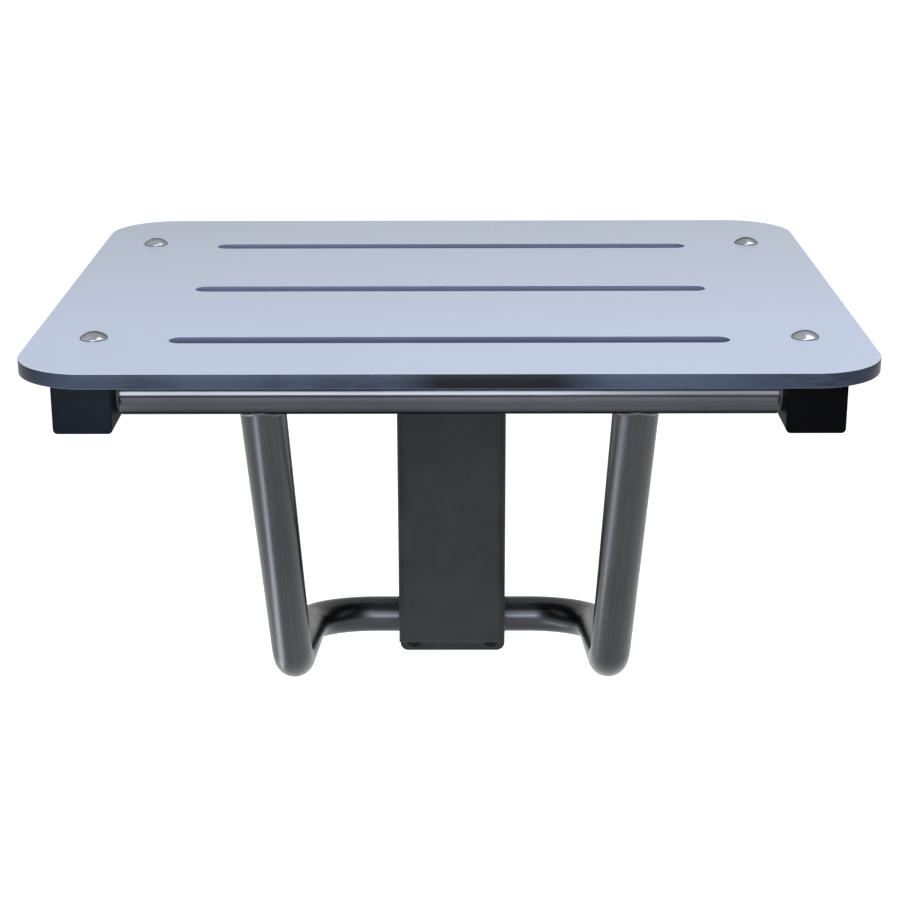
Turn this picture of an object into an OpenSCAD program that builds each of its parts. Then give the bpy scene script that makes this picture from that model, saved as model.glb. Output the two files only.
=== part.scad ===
// Fold down wall seat. The seat hinges on a rod carried by a wall bracket, and a bent tube brace
// under its front edge runs back into curved slots in the bracket.
// Millimetres, +Z up. The origin is the middle of the four wall holes, on the wall face,
// the wall is the plane Y = 0 and the seat stands out of it towards -Y.

/* [Seat panel] */
// Width of the seat panel, side to side
seat_w = 457.2; // [440:0.1:520]
// Depth of the seat panel, front edge to rear edge
seat_d = 381; // [365:0.5:400]
// Thickness of the seat panel
seat_t = 8; // [5:0.5:12]
// Corner radius of the seat panel
seat_corner_r = 40; // [10:1:60]
// Height of the seat's top face above the middle of the wall holes
seat_top_z = 186; // [180:0.5:200]
// Distance from the seat's side edge to the end of a drain slot
drain_side_setback = 76.2; // [60:0.1:120]
// Width of a drain slot
drain_w = 12.7; // [6:0.1:18]
// Number of drain slots
drain_count = 3; // [1:1:3]
// Distance from the front edge to the middle of the first drain slot
drain_setback = 67; // [60:0.5:80]
// Distance between drain slots
drain_pitch = 116.5; // [90:0.5:125]

/* [Side rails] */
// Outer size of the square rail tube
rail_size = 31.75; // [28:0.25:36]
// Wall of the rail tube
rail_wall = 1.65; // [1.2:0.05:2.5]
// Outer corner radius of the rail tube
rail_corner_r = 2.5; // [1:0.1:4]
// Distance from the seat's side edge to the middle of a rail
rail_side_setback = 34.6; // [31:0.1:43]
// Distance from the seat's front edge to the face of the front caps
rail_setback = 23; // [15:0.5:26]
// Distance from the seat's rear edge to the face of the rear caps
rail_rear_setback = 1; // [0:0.5:2]
// Thickness of an end cap's face
cap_t = 3; // [1.5:0.1:4]
// Depth of an end cap's plug inside the rail
cap_plug_l = 7; // [4:0.5:7.5]
// Wall of an end cap's plug
cap_plug_wall = 2.2; // [1.2:0.1:4]

/* [Round tube] */
// Outer diameter of the front tube and the brace tube
tube_d = 25.4; // [22:0.1:27]
// Wall of the front tube and the brace tube
tube_wall = 1.65; // [1.2:0.05:2.5]

/* [Brace] */
// Distance from the seat's front edge to the axis of the front tube
front_tube_setback = 50.5; // [48:0.5:54]
// Distance between the middles of the two legs
leg_spacing = 204; // [190:1:230]
// How far the middle line of a leg passes behind the axis of the front tube
leg_behind = 1.9; // [0:0.1:2]
// How far the knee is behind the front tube
knee_back = 150; // [140:0.5:160]
// How far the knee is below the front tube
knee_drop = 228; // [215:0.5:232]
// Bend radius at the knee, on the tube's middle line
knee_bend_r = 50; // [30:1:60]
// Distance from the wall to the axis of the cross tube, with the seat down
cross_to_wall = 28.5; // [27:0.5:32]
// How far the cross tube is below the front tube
cross_drop = 267; // [262:0.5:270]
// Bend radius where the arms turn into the cross tube, on the tube's middle line
corner_bend_r = 47; // [32:1:50]
// Thickness of a weld bead round the top of a leg
leg_weld_t = 2.4; // [1:0.1:4]

/* [Front pivots] */
// Diameter of a front pivot bolt
pivot_d = 12.7; // [10:0.1:14]
// Wall of a front pivot bush
pivot_bush_wall = 1.6; // [1:0.1:2]
// Thickness of a front pivot bush's flange
pivot_flange_t = 1.5; // [1:0.1:2.5]
// Width of a front pivot bush's flange beyond its barrel
pivot_flange_w = 3; // [1:0.1:4]
// How far a front pivot bush stands out of the rail's outer side
pivot_bush_proud = 0.5; // [0.2:0.1:1]
// Depth of the plug in each end of the front tube
plug_l = 24; // [18:0.5:30]
// How far a pivot bolt reaches into its plug
pivot_grip = 20; // [12:0.5:22]
// Diameter of a pivot bolt's head
pivot_head_d = 22; // [18:0.5:26]
// Thickness of a pivot bolt's head
pivot_head_t = 3.5; // [2:0.1:7]
// Size of the key socket in a pivot bolt's head, across flats
pivot_key = 8; // [5:0.5:10]
// Depth of the key socket in a pivot bolt's head
pivot_key_depth = 3; // [1:0.1:4]

/* [Hinge] */
// Distance from the wall to the hinge axis
hinge_to_wall = 39; // [38:0.5:42]
// How far the seat panel reaches behind the hinge axis
seat_behind_hinge = 20; // [16:0.5:21]
// Diameter of the hinge rod
rod_d = 15.9; // [14:0.1:16.5]
// Wall of a hinge bush
hinge_bush_wall = 1.6; // [1:0.1:2]
// Thickness of a hinge bush's flange
hinge_flange_t = 1.5; // [1:0.1:2.5]
// Width of a hinge bush's flange beyond its barrel
hinge_flange_w = 2.4; // [1:0.1:3]
// How far a hinge bush reaches inside the cheek
hinge_bush_inner_l = 8; // [3:0.5:12]
// Wall of the spacer tubes on the hinge rod
spacer_wall = 2.2; // [1.5:0.1:3]
// Thickness of the washers under the hinge nuts
hinge_washer_t = 1.6; // [1:0.1:2.5]
// Diameter of the washers under the hinge nuts
hinge_washer_d = 28; // [25:0.5:30]
// Size of a hinge nut, across flats
hinge_nut_w = 24; // [22:0.5:26]
// Thickness of a hinge nut
hinge_nut_t = 8; // [5:0.1:9]
// How far the hinge rod stands out of its nuts
rod_proud = 1.5; // [0.5:0.1:3]

/* [Wall bracket] */
// Width of the wall plate
plate_w = 78; // [76:0.5:100]
// Thickness of the wall plate
plate_t = 4; // [3:0.1:5]
// Corner radius of the wall plate
plate_corner_r = 6; // [2:0.5:6]
// Height of the wall plate above the upper wall holes
plate_above = 42; // [20:0.5:43]
// Height of the wall plate below the lower wall holes
plate_below = 8.5; // [8.1:0.1:14]
// Outer width of the guide channel
channel_w = 74; // [73:0.5:75]
// Cheek left between the slots and the front face of the guide channel
slot_front = 6.1; // [4:0.1:11]
// Thickness of the guide channel's sheet
sheet_t = 3; // [2:0.1:3.2]
// Outer radius of the guide channel's bends
channel_bend_r = 5; // [3.5:0.1:8]
// Distance from the underside of the seat panel down to the guide channel's front face
web_setback = 52; // [48:0.5:68]
// How far the guide channel's front face ends above the axis of the cross tube
web_lift = 6.6; // [1:0.1:8]
// Radius of the cheeks' ears round the hinge
ear_r = 15; // [14.5:0.1:15.2]
// Cheek left below the slots, round the cross tube
slot_lip = 5; // [4:0.1:6]
// Cheek left between the slots and the wall plate, with the seat up
slot_strip = 3; // [2:0.1:4]
// Leg of the weld beads between the cheeks and the wall plate
plate_weld_w = 2; // [1:0.1:2]
// Length of one weld bead
plate_weld_l = 36; // [20:1:60]
// Number of weld beads on each side
plate_weld_count = 3; // [1:1:3]

/* [Glide sleeve] */
// Wall of the glide sleeve, with its fit on the cross tube
sleeve_wall = 1.3; // [1:0.1:2]
// How far the glide sleeve stands out of the cheeks
sleeve_proud = 1.5; // [0.5:0.1:3]

/* [Wall holes] */
// Distance between wall holes, side to side
hole_spacing_x = 57; // [50:0.5:60]
// Distance between wall holes, up and down
hole_spacing_z = 273; // [270:0.5:276]
// Diameter of a wall hole
hole_d = 6.8; // [5:0.1:8]
// Diameter of a wall hole's countersink at the face of the plate
hole_sink_d = 12.8; // [8.5:0.1:13]

/* [Seat bolts] */
// Distance from the seat's front edge to the front seat bolts
bolt_setback = 71; // [68:0.5:90]
// Distance from the seat's rear edge to the rear seat bolts
bolt_rear_setback = 73.5; // [65:0.5:110]
// Diameter of a seat bolt
bolt_d = 8; // [6:0.1:9]
// Diameter of a seat bolt's domed head
bolt_head_d = 15; // [12:0.1:18]
// Height of a seat bolt's domed head
bolt_head_h = 3.8; // [2:0.1:5]
// Diameter of the washers under the rails
bolt_washer_d = 17; // [16:0.1:20]
// Thickness of the washers under the rails
bolt_washer_t = 1.6; // [1:0.1:2.5]
// Size of a seat bolt's nut, across flats
bolt_nut_w = 13; // [12:0.1:16]
// Thickness of the six-sided part of a seat bolt's nut
bolt_nut_t = 5.5; // [4:0.1:8]
// Height of the round collar of a seat bolt's nut
bolt_collar_t = 2.2; // [1:0.1:4]
// How far a seat bolt stands out of its nut
bolt_proud = 2; // [0.5:0.1:5]

/* [Clearances] */
// Play of a shaft in its bush, on the radius
running_clear = 0.05; // [0.02:0.01:0.1]
// Play of the glide sleeve in the cheeks' slots, on the radius
slot_clear = 0.3; // [0.2:0.05:0.6]
// Play between faces that pass each other, end on
end_clear = 0.3; // [0.2:0.05:0.5]
// Play of a fixed pin, bolt or plug in its hole, on the radius
fixed_clear = 0.1; // [0.05:0.01:0.25]

/* [Hidden] */
$fn = 96;

// Overrun of every cut past the face that it opens
cut_over = 1;
// Steps and half step, in degrees of seat fold, that trace the slot
fold_step = 3;
fold_limit = 90;
fold_tiny = 0.5;
// Flats in an arc of a side view
arc_steps = 24;
// Angle on the cheeks' round lobe where its edge runs level back to the wall plate
lobe_start = 315;

// Seat panel's levels, edges and drain slots
seat_under_z = seat_top_z - seat_t;
seat_rear_y = seat_behind_hinge - hinge_to_wall;
seat_front_y = seat_rear_y - seat_d;
drain_straight = seat_w - 2 * drain_side_setback - drain_w;

// Rails
rail_x = seat_w / 2 - rail_side_setback;
rail_inner_x = rail_x - rail_size / 2;
rail_outer_x = rail_x + rail_size / 2;
rail_mid_z = seat_under_z - rail_size / 2;
rail_under_z = seat_under_z - rail_size;
rail_front_y = seat_front_y + rail_setback + cap_t;
rail_rear_y = seat_rear_y - rail_rear_setback - cap_t;
rail_bore = rail_size - 2 * rail_wall;

// Hinge
hinge_y = -hinge_to_wall;
hinge_z = rail_mid_z;
rod_r = rod_d / 2;
hinge_bush_r = rod_r + running_clear + hinge_bush_wall;
cheek_outer_x = channel_w / 2;
cheek_inner_x = cheek_outer_x - sheet_t;
spacer_start_x = cheek_outer_x + hinge_flange_t + end_clear;
rod_end_x = rail_outer_x + hinge_washer_t + hinge_nut_t + rod_proud;

// Brace
tube_r = tube_d / 2;
front_y = seat_front_y + front_tube_setback;
front_z = rail_mid_z;
leg_x = leg_spacing / 2;
cross_y = -cross_to_wall;
cross_z = front_z - cross_drop;
cross_back = cross_y - front_y;
leg_y = front_y + leg_behind;
leg_fall = atan2(knee_drop, knee_back - leg_behind);
arm_fall = atan2(cross_drop - knee_drop, cross_back - knee_back);
leg_l = norm([knee_back - leg_behind, knee_drop]);
arm_l = norm([cross_back - knee_back, cross_drop - knee_drop]);
knee_turn = leg_fall - arm_fall;
knee_tangent = knee_bend_r * tan(knee_turn / 2);

// How much fuller a bend is on the radius, and how far a straight runs into it
bend_swell = 0.1;
bend_lap = 0.5;

// Front pivots
pivot_r = pivot_d / 2;
pivot_bush_r = pivot_r + running_clear + pivot_bush_wall;
tube_end_x = rail_inner_x - pivot_flange_t - end_clear;
pivot_head_x = rail_outer_x + pivot_bush_proud + end_clear;
plug_r = tube_r - tube_wall - running_clear;

// Glide sleeve
sleeve_r = tube_r + running_clear + sleeve_wall;
sleeve_l = channel_w + 2 * sleeve_proud;
slot_r = sleeve_r + slot_clear;

// Fold. The brace makes a fixed share of the seat's turn, chosen so that the cross tube ends
// beside the wall plate when the seat is upright.
reach = front_y - hinge_y;
span = norm([cross_back, cross_drop]);
span_fall = atan2(cross_drop, cross_back);
folded_cross_y = -(plate_t + slot_strip + slot_r);
folded_fall = acos((folded_cross_y - hinge_y) / span);
brace_share = (folded_fall - span_fall) / fold_limit;

// Guide channel
channel_d = max([for (a = [0 : fold_step : fold_limit]) -cross_at(a)[0]]) + slot_r + slot_front;
web_top = seat_under_z - web_setback;

// Places in the side view, as [Y, Z]
hinge_yz = [hinge_y, hinge_z];
cross_yz = [cross_y, cross_z];
web_top_yz = [-channel_d, web_top];
web_bottom_yz = [-channel_d, cross_z + web_lift];

// Seat bolts
bolt_r = bolt_d / 2;
bolt_ys = [seat_front_y + bolt_setback, seat_rear_y - bolt_rear_setback];
bolt_end_z = rail_under_z - bolt_washer_t - bolt_nut_t - bolt_collar_t - bolt_proud;
bolt_dome_r = (bolt_head_h * bolt_head_h + bolt_head_d * bolt_head_d / 4) / (2 * bolt_head_h);

// Wall plate
plate_top_z = hole_spacing_z / 2 + plate_above;
plate_bottom_z = -hole_spacing_z / 2 - plate_below;

// Front tube's axis when the seat is folded by a, in the side view
function front_at(a) = [hinge_y + reach * cos(a), hinge_z - reach * sin(a)];

// Cross tube's axis when the seat is folded by a, in the side view
function cross_at(a) =
    let (fall = span_fall + brace_share * a)
    front_at(a) + span * [cos(fall), -sin(fall)];

// Direction in which the cross tube travels at fold a, as an angle in the side view
function heading_at(a) =
    let (step = cross_at(a + fold_tiny) - cross_at(a - fold_tiny))
    atan2(step[1], step[0]);

// Point at angle a on the circle round c
function on_circle(c, r, a) = c + r * [cos(a), sin(a)];

// Points of the arc round c from angle a0 to angle a1, without its two ends
function arc_between(c, r, a0, a1) =
    [for (i = [1 : arc_steps - 1]) on_circle(c, r, a0 + (a1 - a0) * i / arc_steps)];

// Angle on the circle round c where the line from p touches it, on the side given by turn
function tangent_angle(c, r, p, turn) =
    let (v = p - c)
    atan2(v[1], v[0]) + turn * acos(r / norm(v));

// Solid round bar along X, between two places
module bar_x(x0, x1, r) {
    translate([min(x0, x1), 0, 0])
        rotate([0, 90, 0])
            cylinder(h = abs(x1 - x0), r = r);
}

// Tube along X, between two places
module tube_x(x0, x1, r, bore_r) {
    difference() {
        bar_x(x0, x1, r);
        bar_x(min(x0, x1) - cut_over, max(x0, x1) + cut_over, bore_r);
    }
}

// Rectangle with round corners, centred
module round_rect(w, h, r) {
    square([w, h - 2 * r], center = true);
    square([w - 2 * r, h], center = true);
    for (sx = [-1, 1], sy = [-1, 1])
        translate([sx * (w / 2 - r), sy * (h / 2 - r)])
            circle(r = r);
}

// Extrudes a side view, drawn as [Y, Z], between two places along X
module side_extrude(x0, x1) {
    translate([x0, 0, 0])
        rotate([90, 0, 90])
            linear_extrude(x1 - x0)
                children();
}

// Puts its children on the hinge axis, the front tube's axis or the cross tube's axis
module at_hinge() {
    translate([0, hinge_y, hinge_z])
        children();
}

module at_front() {
    translate([0, front_y, front_z])
        children();
}

module at_cross() {
    translate([0, cross_y, cross_z])
        children();
}

// Puts its children at each seat bolt
module at_bolts(sides = [-1, 1]) {
    for (side = sides, y = bolt_ys)
        translate([side * rail_x, y, 0])
            children();
}

module drain_slot() {
    square([drain_straight, drain_w], center = true);
    for (side = [-1, 1])
        translate([side * drain_straight / 2, 0])
            circle(d = drain_w);
}

module seat_panel() {
    color("#d3d7df")
        difference() {
            translate([0, seat_front_y + seat_d / 2, seat_under_z])
                linear_extrude(seat_t)
                    round_rect(seat_w, seat_d, seat_corner_r);
            for (i = [0 : drain_count - 1])
                translate([0, seat_front_y + drain_setback + i * drain_pitch, seat_under_z - cut_over])
                    linear_extrude(seat_t + 2 * cut_over)
                        drain_slot();
            at_bolts()
                translate([0, 0, seat_under_z - cut_over])
                    cylinder(h = seat_t + 2 * cut_over, r = bolt_r + fixed_clear);
        }
}

module rail(side) {
    color("#8f9399")
        difference() {
            translate([side * rail_x, rail_rear_y, rail_mid_z])
                rotate([90, 0, 0])
                    linear_extrude(rail_rear_y - rail_front_y)
                        difference() {
                            round_rect(rail_size, rail_size, rail_corner_r);
                            square(rail_bore, center = true);
                        }
            at_bolts([side])
                translate([0, 0, rail_under_z - cut_over])
                    cylinder(h = rail_size + 2 * cut_over, r = bolt_r + fixed_clear);
            at_hinge()
                bar_x(side * (rail_inner_x - cut_over), side * (rail_outer_x + cut_over),
                      rod_r + fixed_clear);
            at_front()
                bar_x(side * (rail_inner_x - cut_over), side * (rail_outer_x + cut_over),
                      pivot_bush_r + fixed_clear);
        }
}

// Plug with a square face, its face on the plane Y = 0 and its plug towards +Y
module end_cap() {
    color("#15171b")
        rotate([90, 0, 0]) {
            translate([0, 0, -cap_t])
                linear_extrude(cap_t)
                    round_rect(rail_size, rail_size, rail_corner_r);
            translate([0, 0, -cap_t - cap_plug_l])
                linear_extrude(cap_plug_l)
                    difference() {
                        square(rail_bore - 2 * fixed_clear, center = true);
                        square(rail_bore - 2 * fixed_clear - 2 * cap_plug_wall, center = true);
                    }
        }
}

module front_cap(side) {
    translate([side * rail_x, rail_front_y - cap_t, rail_mid_z])
        end_cap();
}

module rear_cap(side) {
    translate([side * rail_x, rail_rear_y + cap_t, rail_mid_z])
        mirror([0, 1, 0])
            end_cap();
}

module hinge_rod() {
    color("#a6a9ae")
        at_hinge()
            bar_x(-rod_end_x, rod_end_x, rod_r);
}

module hinge_spacer(side) {
    color("#9a9da2")
        at_hinge()
            tube_x(side * spacer_start_x, side * rail_inner_x,
                   rod_r + fixed_clear + spacer_wall, rod_r + fixed_clear);
}

module hinge_washers() {
    color("#a6a9ae")
        for (side = [-1, 1])
            at_hinge()
                tube_x(side * rail_outer_x, side * (rail_outer_x + hinge_washer_t),
                       hinge_washer_d / 2, rod_r + fixed_clear);
}

module hinge_nuts() {
    seat_x = rail_outer_x + hinge_washer_t;
    color("#a6a9ae")
        for (side = [-1, 1])
            at_hinge()
                difference() {
                    translate([side > 0 ? seat_x : -seat_x - hinge_nut_t, 0, 0])
                        rotate([0, 90, 0])
                            cylinder(h = hinge_nut_t, d = hinge_nut_w / cos(30), $fn = 6);
                    bar_x(side * (seat_x - cut_over), side * (seat_x + hinge_nut_t + cut_over),
                          rod_r + fixed_clear);
                }
}

// Flanged bush in the cheek's ear, its flange outside
module hinge_bush(side) {
    flange_x = cheek_outer_x + hinge_flange_t;
    inner_x = cheek_inner_x - hinge_bush_inner_l;
    color("#24262a")
        at_hinge()
            difference() {
                union() {
                    bar_x(side * inner_x, side * flange_x, hinge_bush_r);
                    bar_x(side * cheek_outer_x, side * flange_x, hinge_bush_r + hinge_flange_w);
                }
                bar_x(side * (inner_x - cut_over), side * (flange_x + cut_over), rod_r + running_clear);
            }
}

module seat_bolts() {
    color("#c4c7cc")
        at_bolts() {
            translate([0, 0, bolt_end_z])
                cylinder(h = seat_top_z - bolt_end_z, r = bolt_r);
            intersection() {
                translate([0, 0, seat_top_z + bolt_head_h - bolt_dome_r])
                    sphere(r = bolt_dome_r);
                translate([0, 0, seat_top_z])
                    cylinder(h = bolt_head_h + cut_over, d = bolt_head_d);
            }
        }
}

module bolt_washers() {
    color("#a6a9ae")
        at_bolts()
            translate([0, 0, rail_under_z - bolt_washer_t])
                difference() {
                    cylinder(h = bolt_washer_t, d = bolt_washer_d);
                    translate([0, 0, -cut_over])
                        cylinder(h = bolt_washer_t + 2 * cut_over, r = bolt_r + fixed_clear);
                }
}

// Lock nut: a six-sided body with a round collar below it
module bolt_nuts() {
    seat_z = rail_under_z - bolt_washer_t;
    nut_h = bolt_nut_t + bolt_collar_t;
    color("#a6a9ae")
        at_bolts()
            difference() {
                union() {
                    translate([0, 0, seat_z - bolt_nut_t])
                        cylinder(h = bolt_nut_t, d = bolt_nut_w / cos(30), $fn = 6);
                    translate([0, 0, seat_z - nut_h])
                        cylinder(h = nut_h, d = bolt_nut_w - bolt_collar_t);
                }
                translate([0, 0, seat_z - nut_h - cut_over])
                    cylinder(h = nut_h + 2 * cut_over, r = bolt_r + fixed_clear);
            }
}

// Flanged bush through both walls of a rail, its flange towards the front tube
module pivot_bush(side) {
    flange_x = rail_inner_x - pivot_flange_t;
    end_x = rail_outer_x + pivot_bush_proud;
    color("#24262a")
        at_front()
            difference() {
                union() {
                    bar_x(side * flange_x, side * end_x, pivot_bush_r);
                    bar_x(side * flange_x, side * rail_inner_x, pivot_bush_r + pivot_flange_w);
                }
                bar_x(side * (flange_x - cut_over), side * (end_x + cut_over), pivot_r + running_clear);
            }
}

module front_tube() {
    color("#a9acb1")
        at_front()
            tube_x(-tube_end_x, tube_end_x, tube_r, tube_r - tube_wall);
}

// Plug with a threaded hole, flush with the end of the front tube
module tube_plug(side) {
    color("#8f9399")
        at_front()
            tube_x(side * (tube_end_x - plug_l), side * tube_end_x, plug_r, pivot_r + fixed_clear);
}

module pivot_bolt(side) {
    tip_x = tube_end_x - pivot_grip;
    top_x = pivot_head_x + pivot_head_t;
    floor_x = top_x - pivot_key_depth;
    color("#c4c7cc")
        at_front()
            difference() {
                union() {
                    bar_x(side * tip_x, side * top_x, pivot_r);
                    bar_x(side * pivot_head_x, side * top_x, pivot_head_d / 2);
                }
                translate([side > 0 ? floor_x : -top_x - cut_over, 0, 0])
                    rotate([0, 90, 0])
                        cylinder(h = pivot_key_depth + cut_over, d = pivot_key / cos(30), $fn = 6);
            }
}

// Path of the brace on one side, as a round bar: leg, knee, arm, corner and half the cross tube.
// The bends are a hair fuller than the straights, which run a little way into them.
module brace_half(r) {
    leg_dir = [0, cos(leg_fall), -sin(leg_fall)];
    arm_dir = [0, cos(arm_fall), -sin(arm_fall)];
    top = [leg_x, leg_y, front_z];
    corner = [leg_x, cross_y, cross_z];
    knee = top + leg_l * leg_dir;
    knee_start = knee - knee_tangent * leg_dir;
    arm_start = knee + (knee_tangent - bend_lap) * arm_dir;
    corner_start = corner - corner_bend_r * arm_dir;

    translate(top)
        rotate([-90 - leg_fall, 0, 0])
            cylinder(h = leg_l - knee_tangent + bend_lap, r = r);
    translate(knee_start + knee_bend_r * [0, sin(leg_fall), cos(leg_fall)])
        rotate([-leg_fall, 0, 0])
            rotate([0, 90, 0])
                bend(knee_bend_r, knee_turn, r);
    translate(arm_start)
        rotate([-90 - arm_fall, 0, 0])
            cylinder(h = arm_l - knee_tangent - corner_bend_r + 2 * bend_lap, r = r);
    translate(corner_start - [corner_bend_r, 0, 0])
        rotate([-arm_fall, 0, 0])
            bend(corner_bend_r, 90, r);
}

// Round bar bent round the Z axis
module bend(bend_r, turn, r) {
    rotate_extrude(angle = turn)
        translate([bend_r, 0])
            circle(r = r + bend_swell);
}

module brace_path(r) {
    cross_end_x = leg_x - corner_bend_r + bend_lap;
    brace_half(r);
    mirror([1, 0, 0])
        brace_half(r);
    at_cross()
        bar_x(-cross_end_x, cross_end_x, r);
}

module brace_tube() {
    color("#9fa2a7")
        difference() {
            brace_path(tube_r);
            brace_path(tube_r - tube_wall);
            at_front()
                bar_x(-tube_end_x, tube_end_x, tube_r + running_clear);
        }
}

// Bead round the joint of each leg and the front tube
module leg_welds() {
    color("#b4b6ba")
        for (side = [-1, 1])
            translate([side * leg_x, front_y, front_z])
                difference() {
                    intersection() {
                        leg_bar(0, tube_r + leg_weld_t);
                        bar_x(-tube_d, tube_d, tube_r + leg_weld_t);
                    }
                    leg_bar(-tube_d, tube_r + running_clear);
                    bar_x(-2 * tube_d, 2 * tube_d, tube_r + running_clear);
                }
}

// Round bar on the middle line of a leg, seen from the front tube's axis, that starts at a given
// distance down the leg
module leg_bar(start, r) {
    translate([0, leg_behind, 0])
        rotate([-90 - leg_fall, 0, 0])
            translate([0, 0, start])
                cylinder(h = 4 * tube_d, r = r);
}

module glide_sleeve() {
    color("#1c1e22")
        at_cross()
            tube_x(-sleeve_l / 2, sleeve_l / 2, sleeve_r, tube_r + running_clear);
}

module wall_plate() {
    color("#4a4e55")
        difference() {
            translate([0, 0, (plate_top_z + plate_bottom_z) / 2])
                rotate([90, 0, 0])
                    linear_extrude(plate_t)
                        round_rect(plate_w, plate_top_z - plate_bottom_z, plate_corner_r);
            for (sx = [-1, 1], sz = [-1, 1])
                translate([sx * hole_spacing_x / 2, 0, sz * hole_spacing_z / 2])
                    wall_hole();
        }
}

// Cut for a flat head screw: a plain hole and a countersink at 90 degrees that opens on the room side
module wall_hole() {
    sink_h = (hole_sink_d - hole_d) / 2 + cut_over;
    rotate([90, 0, 0]) {
        translate([0, 0, -cut_over])
            cylinder(h = plate_t + 2 * cut_over, d = hole_d);
        translate([0, 0, plate_t - sink_h + cut_over])
            cylinder(h = sink_h, d1 = hole_d, d2 = hole_sink_d + 2 * cut_over);
    }
}

// Slot that the cross tube follows as the seat folds, in the side view
module cam_slot() {
    folds = [0 : fold_step : fold_limit];
    first = heading_at(0);
    last = heading_at(fold_limit);
    polygon(concat(
        [for (a = folds) on_circle(cross_at(a), slot_r, heading_at(a) + 90)],
        arc_between(cross_at(fold_limit), slot_r, last + 90, last - 90),
        [for (b = folds)
            let (a = fold_limit - b)
            on_circle(cross_at(a), slot_r, heading_at(a) - 90)],
        arc_between(cross_at(0), slot_r, first - 90, first - 270)
    ));
}

// Outline of a cheek, in the side view: straight front, ear round the hinge, straight back on
// the wall plate and round lobe below the cross tube
module cheek_outline() {
    lobe_r = slot_r + slot_lip;
    ear_start = tangent_angle(hinge_yz, ear_r, web_top_yz, -1);
    lobe_end = tangent_angle(cross_yz, lobe_r, web_bottom_yz, 1);
    lobe_corner = on_circle(cross_yz, lobe_r, lobe_start);
    polygon(concat(
        [web_bottom_yz, web_top_yz, on_circle(hinge_yz, ear_r, ear_start)],
        arc_between(hinge_yz, ear_r, ear_start, -360),
        [
            [hinge_y + ear_r, hinge_z],
            [hinge_y + ear_r, web_top],
            [-plate_t, web_top],
            [-plate_t, lobe_corner[1]],
            lobe_corner
        ],
        arc_between(cross_yz, lobe_r, lobe_start, lobe_end),
        [on_circle(cross_yz, lobe_r, lobe_end)]
    ));
}

// Bent sheet seen from above: a front face and two cheeks
module channel_section() {
    difference() {
        channel_outer();
        translate([-cheek_inner_x, -channel_d + sheet_t])
            square([2 * cheek_inner_x, channel_d]);
    }
}

module channel_outer() {
    translate([-cheek_outer_x, -channel_d + channel_bend_r])
        square([channel_w, channel_d - channel_bend_r - plate_t]);
    translate([-cheek_outer_x + channel_bend_r, -channel_d])
        square([channel_w - 2 * channel_bend_r, channel_d - plate_t]);
    for (side = [-1, 1])
        translate([side * (cheek_outer_x - channel_bend_r), -channel_d + channel_bend_r])
            circle(r = channel_bend_r);
}

module guide_channel() {
    low_z = -hole_spacing_z;
    color("#3a3e46")
        difference() {
            intersection() {
                translate([0, 0, low_z])
                    linear_extrude(seat_under_z - low_z)
                        channel_section();
                side_extrude(-channel_w, channel_w)
                    cheek_outline();
            }
            side_extrude(-channel_w, channel_w)
                cam_slot();
            at_hinge()
                bar_x(-channel_w, channel_w, hinge_bush_r + fixed_clear);
        }
}

// Beads in the corners between the cheeks and the wall plate
module channel_welds() {
    low_z = cross_z - slot_r;
    pitch = (web_top - low_z) / plate_weld_count;
    color("#5a5d63")
        for (side = [-1, 1], i = [0 : plate_weld_count - 1])
            translate([0, 0, low_z + (i + 0.5) * pitch - plate_weld_l / 2])
                linear_extrude(plate_weld_l)
                    polygon([
                        [side * cheek_outer_x, -plate_t],
                        [side * (cheek_outer_x + plate_weld_w), -plate_t],
                        [side * cheek_outer_x, -plate_t - plate_weld_w]
                    ]);
}

wall_plate();
guide_channel();
channel_welds();
hinge_bush(-1);  // hinge_bush_left
hinge_bush(1);  // hinge_bush_right
seat_panel();
rail(-1);  // rail_left
rail(1);  // rail_right
front_cap(-1);  // front_cap_left
front_cap(1);  // front_cap_right
rear_cap(-1);  // rear_cap_left
rear_cap(1);  // rear_cap_right
hinge_rod();
hinge_spacer(-1);  // hinge_spacer_left
hinge_spacer(1);  // hinge_spacer_right
hinge_washers();
hinge_nuts();
seat_bolts();
bolt_washers();
bolt_nuts();
pivot_bush(-1);  // pivot_bush_left
pivot_bush(1);  // pivot_bush_right
front_tube();
brace_tube();
leg_welds();
tube_plug(-1);  // tube_plug_left
tube_plug(1);  // tube_plug_right
pivot_bolt(-1);  // pivot_bolt_left
pivot_bolt(1);  // pivot_bolt_right
glide_sleeve();
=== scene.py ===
"""Looks of the fold down wall seat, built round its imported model. Metres, in the model's own frame."""

import math

import bpy
from mathutils import Matrix, Vector


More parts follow.
